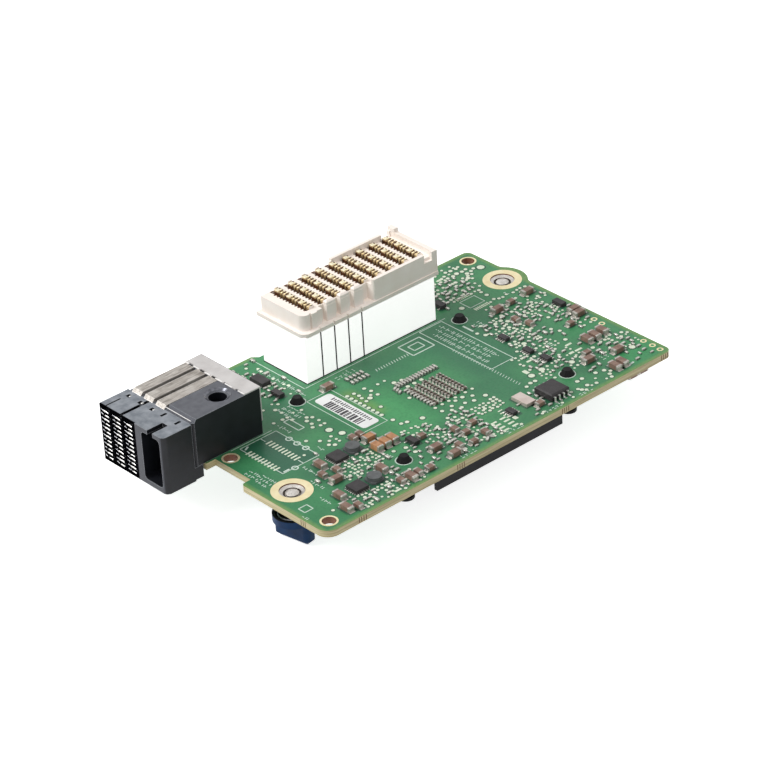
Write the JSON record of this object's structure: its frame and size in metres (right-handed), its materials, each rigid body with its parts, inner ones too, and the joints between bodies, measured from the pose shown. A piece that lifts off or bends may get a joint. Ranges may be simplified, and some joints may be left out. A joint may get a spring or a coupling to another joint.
{
  "type": "mezzanine host bus adapter card",
  "caption": "Green card with a tall cream socket, a black overhanging edge connector, a finned heat sink underneath and spring-loaded thumbscrews at opposite corners.",
  "frame": {"origin": "axis of the near captive screw, in the face of the board that carries the connectors", "axes": "X along the long edge towards the far screw's end, Y across the board towards the far edge, Z out of the connector face"},
  "size_m": [0.1114, 0.0645, 0.0296],
  "materials": {
    "laminate_green": "solder mask over laminate",
    "pad_gold": "thin gold plating",
    "screw_steel": "bright nickel plating",
    "spring_steel": "drawn wire",
    "knob_blue": "moulded nylon",
    "cup_black": "black plating",
    "resin_cream": "moulded liquid crystal polymer",
    "resin_white": "moulded liquid crystal polymer",
    "contact_gold": "gold plated spring contacts",
    "resin_black": "moulded glass-filled resin",
    "contact_bright": "tin plated spring contacts",
    "shield_metal": "stamped and rolled",
    "plate_metal": "stamped, satin",
    "sink_black": "black anodised",
    "thermal_grey": "soft pad",
    "package_grey": "package with a bare lid",
    "package_black": "moulded epoxy",
    "ferrite_grey": "pressed ferrite",
    "lead_tin": "tin plating",
    "crystal_can": "welded can",
    "ceramic_brown": "fired ceramic",
    "ceramic_orange": "fired ceramic",
    "label_paper": "coated label"
  },
  "bodies": {
    "card": {"backplane_contacts": "contact_bright", "backplane_housing": "resin_black", "backplane_wafer_1": "resin_black", "backplane_wafer_2": "resin_black", "backplane_wafer_3": "resin_black", "capacitor_array": "ceramic_brown", "capacitors_large": "ceramic_brown", "capacitors_medium": "ceramic_brown", "capacitors_orange": "ceramic_orange", "circuit_board": "laminate_green", "crystal": "crystal_can", "drivers": "package_black", "far_ferrule": "screw_steel", "far_spring": "spring_steel", "guide_module": "resin_black", "heat_sink": "sink_black", "inductor_1": "ferrite_grey", "inductor_2": "ferrite_grey", "interface_chip": "package_black", "label": "label_paper", "memory_chip": "package_black", "memory_leads": "lead_tin", "mezz_body": "resin_white", "mezz_contacts": "contact_gold", "mezz_housing": "resin_cream", "mezz_wafer_1": "resin_white", "mezz_wafer_2": "resin_white", "mezz_wafer_3": "resin_white", "mezz_wafer_4": "resin_white", "near_ferrule": "screw_steel", "near_spring": "spring_steel", "pin_spring_1": "spring_steel", "pin_spring_2": "spring_steel", "pin_spring_3": "spring_steel", "pin_spring_4": "spring_steel", "power_controller_1": "package_black", "power_controller_2": "package_black", "processor": "package_grey", "push_pin_1": "resin_black", "push_pin_2": "resin_black", "push_pin_3": "resin_black", "push_pin_4": "resin_black", "seat_rings": "pad_gold", "shield_rib_1": "shield_metal", "shield_rib_2": "shield_metal", "shield_rib_3": "shield_metal", "stiffener_plate": "plate_metal", "thermal_pad": "thermal_grey", "transistors": "package_black", "underside_capacitors": "ceramic_brown"},
    "near_cup": {"near_spring_cup": "cup_black"},
    "near_thumbscrew": {"near_screw": "screw_steel", "near_knob": "knob_blue"},
    "far_cup": {"far_spring_cup": "cup_black"},
    "far_thumbscrew": {"far_screw": "screw_steel", "far_knob": "knob_blue"}
  },
  "joints": [
    {"name": "near_press", "type": "slide", "parent": "card", "child": "near_cup", "axis": [0, 0, 1], "range_m": [0, 0.003], "stiffness_N_per_m": 400, "springref_m": -0.003, "deforming": ["near_spring"]},
    {"name": "near_turn", "type": "hinge", "parent": "near_cup", "child": "near_thumbscrew", "pos_m": [0, 0, 0], "axis": [0, 0, 1], "continuous": true},
    {"name": "far_press", "type": "slide", "parent": "card", "child": "far_cup", "axis": [0, 0, 1], "range_m": [0, 0.003], "stiffness_N_per_m": 400, "springref_m": -0.003, "deforming": ["far_spring"]},
    {"name": "far_turn", "type": "hinge", "parent": "far_cup", "child": "far_thumbscrew", "pos_m": [0.0897, 0.0317, 0], "axis": [0, 0, 1], "continuous": true}
  ]
}
